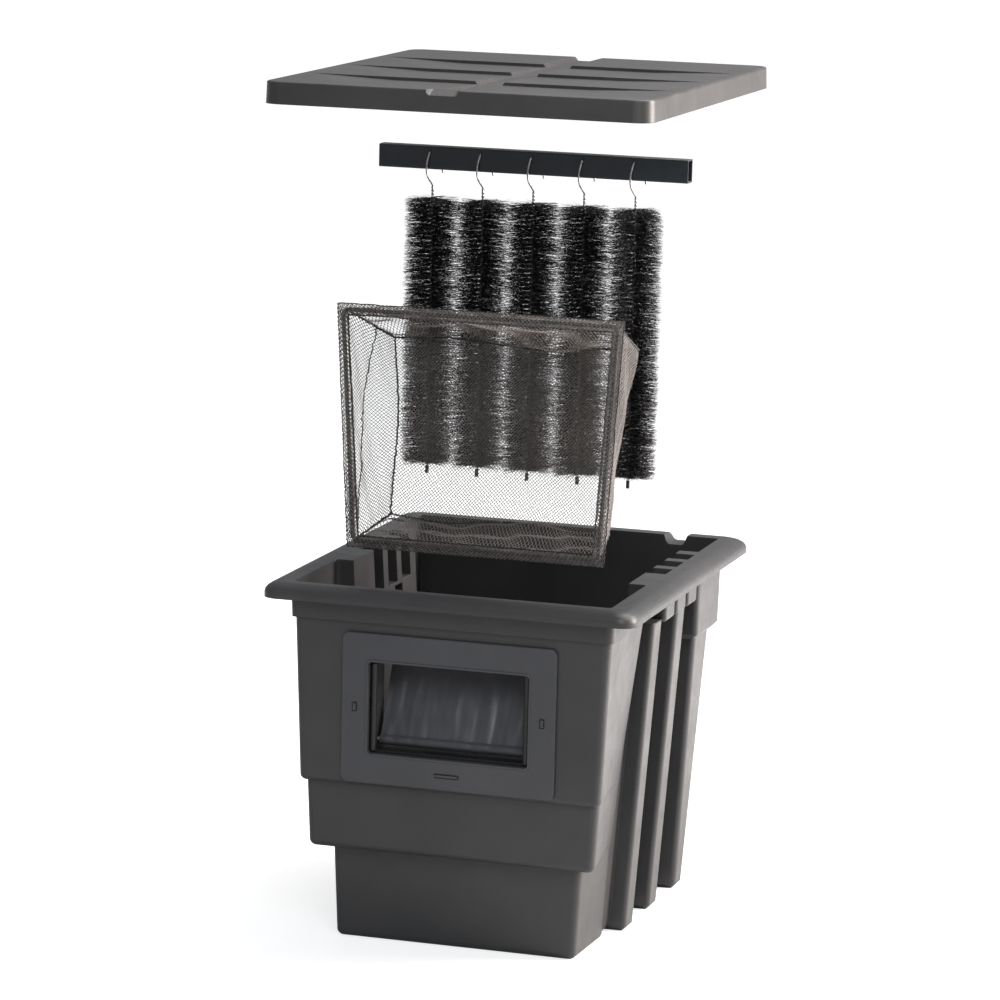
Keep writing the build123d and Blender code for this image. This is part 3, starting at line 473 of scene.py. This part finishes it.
def bristle_filaments(number, top, bottom, stem):
    """Nylon filaments caught in the twisted stem: most stop short, a few reach the full width."""
    random = np.random.default_rng(100 + int(number))
    share = (np.arange(FILAMENTS) + random.random(FILAMENTS)) / FILAMENTS
    height = bottom + (top - bottom) * share
    turn = share * 2 * np.pi * WRAPS + random.normal(0, WRAP_SPREAD, FILAMENTS)
    longer = (1 - FILAMENT_SHORTEST) * random.beta(2.4, 1.2, FILAMENTS)
    reach = FILAMENT_REACH * (FILAMENT_SHORTEST + longer)
    patch = np.sin(share * 41 + int(number)) * np.sin(share * 17.3 + 2 * int(number))
    reach *= 1 - HOLLOWS * np.clip(patch, 0, 1)
    end = 1 - smoothstep(0, BUNDLE_END, share) * smoothstep(0, BUNDLE_END, 1 - share)
    reach *= 1 - END_SHORTER * end ** 2
    fan = np.where(share > 0.5, -1.0, 1.0) * END_FAN * end
    tilt = random.normal(0.0, FILAMENT_LEAN, FILAMENTS) + fan
    outward = np.stack([np.cos(turn), np.sin(turn), np.zeros(FILAMENTS)], 1)
    sideways = np.stack([-np.sin(turn), np.cos(turn), np.zeros(FILAMENTS)], 1)
    bend = random.normal(0, FILAMENT_BEND, FILAMENTS)
    droop = random.normal(-FILAMENT_DROOP / 2, FILAMENT_DROOP, FILAMENTS)
    stations = np.array([0.0, 0.5, 1.0])
    rows = np.zeros((FILAMENTS, len(stations), 3))
    for i, along in enumerate(stations):
        rows[:, i] = outward * (reach * along)[:, None]
        rows[:, i] += sideways * (reach * bend * along ** 2)[:, None]
        rows[:, i, 2] += reach * (np.sin(tilt) * along + droop * along ** 2)
    rows[:, :, 2] += height[:, None]
    rows[:, :, 2] = np.clip(rows[:, :, 2], bottom - STRAY_ENDS, top + STRAY_ENDS)
    rows += np.array([stem[0], stem[1], 0.0])
    taper = np.array([1.0, 0.95, 0.75])
    radii = FILAMENT_THICK * taper[None, :] * random.uniform(0.8, 1.25, (FILAMENTS, 1))
    return sticks(rows, radii)


def twisted_stem(stem, top, bottom):
    """Two steel wires twisted round each other."""
    steps = int((top - bottom) / STEM_PITCH * STEPS_PER_TURN)
    heights = np.linspace(top, bottom, steps)
    strands = []
    for start in (0.0, np.pi):
        angle = start + 2 * np.pi * (top - heights) / STEM_PITCH
        across_x = stem[0] + STEM_WIRE * np.cos(angle)
        across_y = stem[1] + STEM_WIRE * np.sin(angle)
        path = np.stack([across_x, across_y, heights], 1)
        strands.append(tube(path, STEM_WIRE, sides=6))
    return merged(strands)


def hook_path(number):
    """The hook's middle line: free end, through the rail's hole, down its front and in to the stem."""
    rail_low, rail_high = (np.array(v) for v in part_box("brush_rail"))
    hole_x, hole_y, hole_z = HINGES[f"brush_{number}_sway"]["pos_m"]
    clear = (rail_high[1] - rail_low[1]) / 2 + HOOK_CLEAR
    under = rail_low[2]
    tail = [hole_x + step for step in TAIL_RIGHT]
    shank = [hole_x - step for step in SHANK_LEFT]
    return smooth_path([
        (tail[0], hole_y + clear, under - 0.006),
        (tail[1], hole_y + clear + 0.0004, under + 0.004),
        (tail[2], hole_y + clear, hole_z - 0.004),
        (hole_x, hole_y + clear - HOOK_BEND, hole_z),
        (hole_x, hole_y + HOOK_STRAIGHT, hole_z),
        (hole_x, hole_y - HOOK_STRAIGHT, hole_z),
        (hole_x, hole_y - clear + HOOK_BEND, hole_z),
        (shank[0], hole_y - clear, hole_z - 0.003),
        (shank[1], hole_y - clear, hole_z - 0.013),
        (shank[2], hole_y - clear, under - 0.001),
        (shank[3], hole_y - clear * 0.85, under - 0.009),
        (shank[4], hole_y - clear * 0.3, under - 0.017),
        (hole_x, hole_y, under - STEM_JOIN),
        (hole_x, hole_y, under - STEM_JOIN - 0.004),
    ])


def brush(number):
    """One hanging brush: its filaments, and its hook and twisted stem in place of the plain wire."""
    body = f"brush_{number}"
    low, high = (np.array(v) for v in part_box(f"{body}_bristles"))
    stem = (low + high) / 2
    filaments = bristle_filaments(number, high[2], low[2], stem)
    hair = mesh_piece(f"{body}_filaments", *filaments, BRISTLE_NYLON, body, smooth=False,
                      slot="bristle_nylon")
    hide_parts(f"{body}_bristles")
    if number in (BRUSH_NUMBERS[0], BRUSH_NUMBERS[-1]):
        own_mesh(hair)
    stem_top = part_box("brush_rail")[0][2] - STEM_JOIN - 0.001
    twist = twisted_stem(stem, stem_top, low[2] - STEM_PAST_END)
    wire = merged([tube(hook_path(number), HOOK_THICK, sides=8), twist])
    wires = mesh_piece(f"{body}_hook_and_stem", *wire, HOOK_WIRE, body, slot="hook_wire")
    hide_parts(f"{body}_wire")


# ------------------------------------------------------------------ debris net

MESH_WIDE = 0.0044
MESH_HIGH = 0.0044
MESH_STRETCHED = 0.0095
THREAD_THICK = 0.00038
KNOT_THICK = 0.00066
SIDE_THREAD_THICK = 0.00046
SIDE_KNOT_THICK = 0.00075
FOLD_THICK = 0.0008
CORD_THICK = 0.0011
HEM_BAND = 0.0130
HEM_CORD_OUTER = 0.0007
HEM_CORD_INNER = 0.0012
HEM_MESH = (0.0050, 0.0052)
HEM_THREAD_THICK = 0.00050
HEM_KNOT_THICK = 0.00065
HEM_SKIN = 0.0006  # from the hem's face to the middle of its threads
KNOT_SHIFT = 0.10  # of a mesh's half-width
NET_BODY = "debris_net"

BACK_SAG = 0.006
FLOOR_WAVE = 0.0035
SWUNG_LEFT = 0.010  # the foot of the bag's back
PULLED_IN = 0.006
SIDE_WAVE = 0.0028
BACK_WAVE = 0.0045
BACK_SHORTER = 0.006


def net_slump(points):
    """How the free parts of the net hang: nothing moves at the front frame, more towards the back."""
    points = np.array(points, float)
    low, high = (np.array(v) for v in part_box("net_bag"))
    back = np.clip((points[:, 1] - low[1]) / (high[1] - low[1]), 0, 1)
    height = (points[:, 2] - low[2]) / (high[2] - low[2])
    side = points[:, 0] / high[0]
    moved = points.copy()
    top = smoothstep(0.45, 1.0, height)
    moved[:, 2] -= BACK_SAG * back ** 1.4 * top * (1 + 0.8 * np.sin(5.1 * side + 0.7))
    moved[:, 2] += FLOOR_WAVE * back * (1 - top) * np.sin(6.2 * side + 1.1)
    moved[:, 0] -= SWUNG_LEFT * back * (1 - height)
    moved[:, 0] -= PULLED_IN * back * side * np.sin(np.pi * np.clip(height, 0, 1)) ** 2
    moved[:, 0] += SIDE_WAVE * back * np.sin(7.3 * height + 2.0 * side + 0.4)
    moved[:, 1] += BACK_WAVE * back * np.sin(4.3 * side + 6.1 * height) - BACK_SHORTER * back
    return moved


class Panel:
    """A four-cornered net panel that bellies inward and is rumpled between its edges."""

    EDGE_FLAT = 0.06  # the share of the panel along each edge where the rumples fade out

    def __init__(self, corners, belly, seed, rumple=0.0022):
        self.corners = [np.array(c, float) for c in corners]
        self.belly = belly
        self.rumple = rumple
        self.seed = seed
        a, b, c, d = self.corners
        self.wide = (np.linalg.norm(b - a) + np.linalg.norm(c - d)) / 2
        self.high = (np.linalg.norm(d - a) + np.linalg.norm(c - b)) / 2
        self.normal = unit(np.cross(b - a, d - a)[None])[0]

    def at(self, u, v):
        """Points of the panel for shares u along its width and v up its height."""
        a, b, c, d = self.corners
        u, v = u[:, None], v[:, None]
        flat = a * (1 - u) * (1 - v) + b * u * (1 - v) + c * u * v + d * (1 - u) * v
        u, v = u[:, 0], v[:, 0]
        dome = np.sin(np.pi * u) * np.sin(np.pi * v)
        waves = (np.sin(9 * u + 3 * v + self.seed) + np.sin(15 * v - 6 * u + 2.1 * self.seed)
                 + 0.6 * np.sin(23 * u + 17 * v + 0.7 * self.seed))
        edge = smoothstep(0, self.EDGE_FLAT, u) * smoothstep(0, self.EDGE_FLAT, 1 - u)
        edge = edge * smoothstep(0, self.EDGE_FLAT, v) * smoothstep(0, self.EDGE_FLAT, 1 - v)
        lift = self.belly * dome + self.rumple * waves * edge
        return net_slump(flat + self.normal * lift[:, None])


def diamond_mesh(panel, wide=MESH_WIDE, high=MESH_HIGH, thick=THREAD_THICK, knot=KNOT_THICK):
    """Knotted diamond mesh: each side of each diamond is a thin prism that thickens at its knots."""
    columns = max(2, int(round(panel.wide / (wide / 2))))
    rows = max(2, int(round(panel.high / (high / 2))))
    i, j = np.meshgrid(np.arange(columns), np.arange(rows), indexing="ij")
    even = (i + j) % 2 == 0
    starts = np.stack([np.where(even, i, i + 1).ravel(), j.ravel()], 1)
    ends = np.stack([np.where(even, i + 1, i).ravel(), (j + 1).ravel()], 1)
    random = np.random.default_rng(panel.seed)
    jitter = random.normal(0, KNOT_SHIFT, (columns + 1, rows + 1, 2))
    jitter[[0, -1], :, 0] = 0
    jitter[:, [0, -1], 1] = 0

    def place(nodes):
        shift = jitter[nodes[:, 0], nodes[:, 1]]
        return panel.at((nodes[:, 0] + shift[:, 0]) / columns, (nodes[:, 1] + shift[:, 1]) / rows)

    near, far = place(starts), place(ends)
    stations = np.array([0.0, 0.28, 0.72, 1.0])[None, :, None]
    path = near[:, None] * (1 - stations) + far[:, None] * stations
    radii = np.broadcast_to(np.array([knot, thick, thick, knot]), path.shape[:2])
    return sticks(path, radii)


def cord(panel_path, thick, wobble, seed):
    """A sewn cord along a path of points, slightly uneven."""
    random = np.random.default_rng(seed)
    path = smooth_path(panel_path, per_span=5)
    path = path + random.normal(0, wobble, path.shape)
    radii = thick * random.uniform(0.85, 1.2, len(path))
    return tube(path, radii, sides=7)


def net_corners():
    """The bag's eight corners: front then back, each bottom left, bottom right, top right, top left."""
    signs = ((-1, -1), (1, -1), (1, 1), (-1, 1))
    front_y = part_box("net_bag")[0][1]
    front, back = [], []
    for across_sign, up_sign in signs:
        near = corner("net_bag", (across_sign, -40, up_sign))
        near[1] = front_y
        front.append(near)
        back.append(corner("net_bag", (across_sign, 4, up_sign)))
    return front, back


def net():
    """The bag's five panels with the seams between them and the crease in its left side."""
    front, back = net_corners()
    (fbl, fbr, ftr, ftl), (bbl, bbr, btr, btl) = front, back
    panels = {
        "net_back": Panel((bbl, bbr, btr, btl), -0.010, 3),
        "net_left": Panel((fbl, bbl, btl, ftl), -0.007, 5, rumple=0.0007),
        "net_right": Panel((bbr, fbr, ftr, btr), -0.007, 8, rumple=0.0012),
        "net_floor": Panel((fbl, fbr, bbr, bbl), 0.0, 11, rumple=0.003),
        "net_top": Panel((btl, btr, ftr, ftl), -0.012, 14, rumple=0.003),
    }
    first = None
    for name, panel in panels.items():
        if name in ("net_left", "net_right"):
            threads = diamond_mesh(panel, MESH_STRETCHED, MESH_HIGH, SIDE_THREAD_THICK, SIDE_KNOT_THICK)
        elif name in ("net_floor", "net_top"):
            threads = diamond_mesh(panel, MESH_WIDE, MESH_STRETCHED)
        else:
            threads = diamond_mesh(panel)
        piece = mesh_piece(name, *threads, NET_THREAD, NET_BODY, smooth=False, slot="net_mesh")
        first = first or piece
    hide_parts("net_bag")
    steps = np.linspace(0, 1, 24)
    seams = []
    for seed, (a, b) in enumerate(((bbl, btl), (bbr, btr), (bbl, bbr), (btl, btr),
                                   (fbl, bbl), (fbr, bbr), (ftl, btl), (ftr, btr))):
        line = net_slump(a + (b - a) * steps[:, None])
        seams.append(cord(line, CORD_THICK, 0.0005, seed))
    crease = panels["net_left"].at(np.linspace(0.10, 0.62, 24), steps)
    seams.append(cord(crease, FOLD_THICK, 0.0006, 9))
    mesh_piece("net_seam_cords", *merged(seams), NET_BINDING, NET_BODY, slot="net_binding")


def net_hem():
    """Doubled mesh sleeve round the front frame, with a stitched cord along both of its edges."""
    low, high = (np.array(v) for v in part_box("net_hem"))
    hem = node_points("net_hem")
    bottom_half = np.abs(hem[hem[:, 2] < low[2] + HEM_BAND][:, 0]).max()
    outer = [np.array((sx * half, 0, z)) for sx, half, z in (
        (-1, bottom_half, low[2]), (1, bottom_half, low[2]), (1, high[0], high[2]), (-1, high[0], high[2]))]
    centre = sum(outer) / 4
    inner = [p + np.sign(centre - p) * np.array([HEM_BAND, 0, HEM_BAND]) for p in outer]
    random = np.random.default_rng(21)
    layers, cords = [], []
    for layer, y in ((0, low[1] + HEM_SKIN), (1, high[1] - HEM_SKIN)):
        for side in range(4):
            a, b = outer[side], outer[(side + 1) % 4]
            c, d = inner[(side + 1) % 4], inner[side]
            offset = np.array([0, y, 0])
            strip = Panel((a + offset, b + offset, c + offset, d + offset), 0.0, 30 + side + 4 * layer,
                          rumple=0.0006)
            layers.append(diamond_mesh(strip, *HEM_MESH, HEM_THREAD_THICK, HEM_KNOT_THICK))
    middle = (low[1] + high[1]) / 2
    for ring, thick in ((outer, HEM_CORD_OUTER), (inner, HEM_CORD_INNER)):
        path = []
        for side in range(4):
            a, b = ring[side], ring[(side + 1) % 4]
            share = np.linspace(0, 1, 60, endpoint=False)[:, None]
            path.append(a + (b - a) * share)
        path = np.concatenate(path) + np.array([0, middle, 0])
        path = path + random.normal(0, 0.00035, path.shape)
        radii = thick * random.uniform(0.8, 1.2, len(path))
        cords.append(tube(path, radii, sides=8, closed=True))
    sleeve = mesh_piece("net_hem_sleeve", *merged(layers), NET_SLEEVE, NET_BODY, smooth=False,
                        slot="net_binding")
    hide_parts("net_hem")
    mesh_piece("net_hem_cords", *merged(cords), NET_BINDING, NET_BODY, slot="net_binding")


# ------------------------------------------------------------------ stage, light and camera

# Degrees, metres from the rim's middle, and a focal length in widths of the picture.
CAMERA = {
    "azimuth": 17.43,
    "elevation": 10.21,
    "roll": 1.35,
    "right": -0.0157,
    "up": 0.0708,
    "distance": 5.5,
    "focal": 4.545,
}
SENSOR = 36
FURTHEST = 50

FLOOR_HALF = 30.0
FLOOR_GREY = (0.55, 0.55, 0.55)
FLOOR_GLOW_NEAR = 0.69
FLOOR_GLOW_FAR = 0.84
GLOW_RISE = (0.45, 1.6)  # metres from the middle
BACKDROP_RISE = (0.3, 1.0)  # metres behind the middle
BACKDROP_SHARE = 0.9

ROOM_LIGHT = 0.34
ROOM_TINT = (0.93, 0.97, 1.04, 1)
BACKGROUND_LIGHT = 1.05
WHITE = (1, 1, 1, 1)

# Each lamp's name, place, target, size, power and colour.
LAMPS = (
    ("right_softbox", (2.4, 1.0, 1.4), (0.1, 0, 0.45), (1.2, 2.0), 218, (1.0, 0.93, 0.89)),
    ("top_softbox", (0.5, 0.8, 3.0), (0, 0, 0.4), (2.2, 2.2), 80, (1.0, 0.97, 0.94)),
    ("front_fill", (0.9, -2.3, 1.9), (0, 0, 0.5), (1.4, 1.4), 30, (0.96, 0.98, 1.0)),
)


def camera():
    """A long lens from the front, a little to the right and above."""
    azimuth, elevation, roll = (math.radians(CAMERA[k]) for k in ("azimuth", "elevation", "roll"))
    look = Vector((-math.sin(azimuth) * math.cos(elevation), math.cos(azimuth) * math.cos(elevation),
                   -math.sin(elevation)))
    right = Vector((math.cos(azimuth), math.sin(azimuth), 0))
    up = right.cross(look)
    level, upright = right, up
    right = math.cos(roll) * level + math.sin(roll) * upright
    up = math.cos(roll) * upright - math.sin(roll) * level
    target = Vector(RIM_CENTRE) + right * CAMERA["right"] + up * CAMERA["up"]
    data = bpy.data.cameras.new("camera")
    data.sensor_width = SENSOR
    data.lens = SENSOR * CAMERA["focal"]
    data.clip_end = FURTHEST
    eye = bpy.data.objects.new("camera", data)
    axes = Matrix((right, up, -look)).transposed().to_4x4()
    eye.matrix_world = Matrix.Translation(target - look * CAMERA["distance"]) @ axes
    bpy.context.scene.collection.objects.link(eye)
    bpy.context.scene.camera = eye


def area_light(name, place, target, size, power, colour):
    data = bpy.data.lights.new(name, "AREA")
    data.shape = "RECTANGLE"
    data.size, data.size_y = size
    data.energy = power
    data.color = colour
    lamp = bpy.data.objects.new(name, data)
    lamp.location = place
    lamp.rotation_euler = (Vector(target) - Vector(place)).to_track_quat("-Z", "Y").to_euler()
    bpy.context.scene.collection.objects.link(lamp)


def pale_floor():
    """A floor that glows to the camera, so that it reads as paper, darker near the filter's foot."""
    mesh = bpy.data.meshes.new("floor")
    corners = [(x * FLOOR_HALF, y * FLOOR_HALF, 0) for x, y in ((-1, -1), (1, -1), (1, 1), (-1, 1))]
    mesh.from_pydata(corners, [], [(0, 1, 2, 3)])
    floor = bpy.data.objects.new("floor", mesh)
    bpy.context.scene.collection.objects.link(floor)
    shader = Shader("pale_floor")
    away = shader.tree.nodes.new("ShaderNodeVectorMath")
    away.operation = "LENGTH"
    shader.put(away.inputs[0], shader.place)
    glow = shader.remap(away.outputs["Value"], *GLOW_RISE, FLOOR_GLOW_NEAR, FLOOR_GLOW_FAR)
    # only what is behind the filter is lit like a backdrop, so only the sides that mirror it light up
    ray = shader.tree.nodes.new("ShaderNodeLightPath").outputs
    place = shader.tree.nodes.new("ShaderNodeSeparateXYZ")
    shader.put(place.inputs[0], shader.place)
    behind = shader.remap(place.outputs["Y"], *BACKDROP_RISE, 0, BACKDROP_SHARE)
    seen = shader.maths("ADD", ray["Is Camera Ray"], shader.maths("MULTIPLY", ray["Is Glossy Ray"], behind))
    shader.put(shader.surface.inputs["Emission Strength"], shader.maths("MULTIPLY", seen, glow))
    shader.surface.inputs["Emission Color"].default_value = WHITE
    mesh.materials.append(shader.finish(FLOOR_GREY, 0.6, specular=0.2))


def room():
    """The surroundings as the camera sees them are white; the light they give is dim and cool."""
    world = bpy.data.worlds.new("studio")
    world.use_nodes = True
    nodes = world.node_tree.nodes
    link = world.node_tree.links.new
    seen = nodes.new("ShaderNodeLightPath").outputs["Is Camera Ray"]
    strength = nodes.new("ShaderNodeMapRange")
    strength.inputs["To Min"].default_value = ROOM_LIGHT
    strength.inputs["To Max"].default_value = BACKGROUND_LIGHT
    link(seen, strength.inputs["Value"])
    tint = nodes.new("ShaderNodeMix")
    tint.data_type = "RGBA"
    link(seen, tint.inputs["Factor"])
    tint.inputs["A"].default_value = ROOM_TINT
    tint.inputs["B"].default_value = WHITE
    backdrop = nodes["Background"]
    link(tint.outputs["Result"], backdrop.inputs["Color"])
    link(strength.outputs[0], backdrop.inputs["Strength"])
    bpy.context.scene.world = world


def studio():
    pale_floor()
    room()
    for lamp in LAMPS:
        area_light(*lamp)
    bpy.context.scene.view_settings.view_transform = "Standard"


dress_cad_nodes()
for brush_number in BRUSH_NUMBERS:
    brush(brush_number)
net()
net_hem()
studio()
camera()
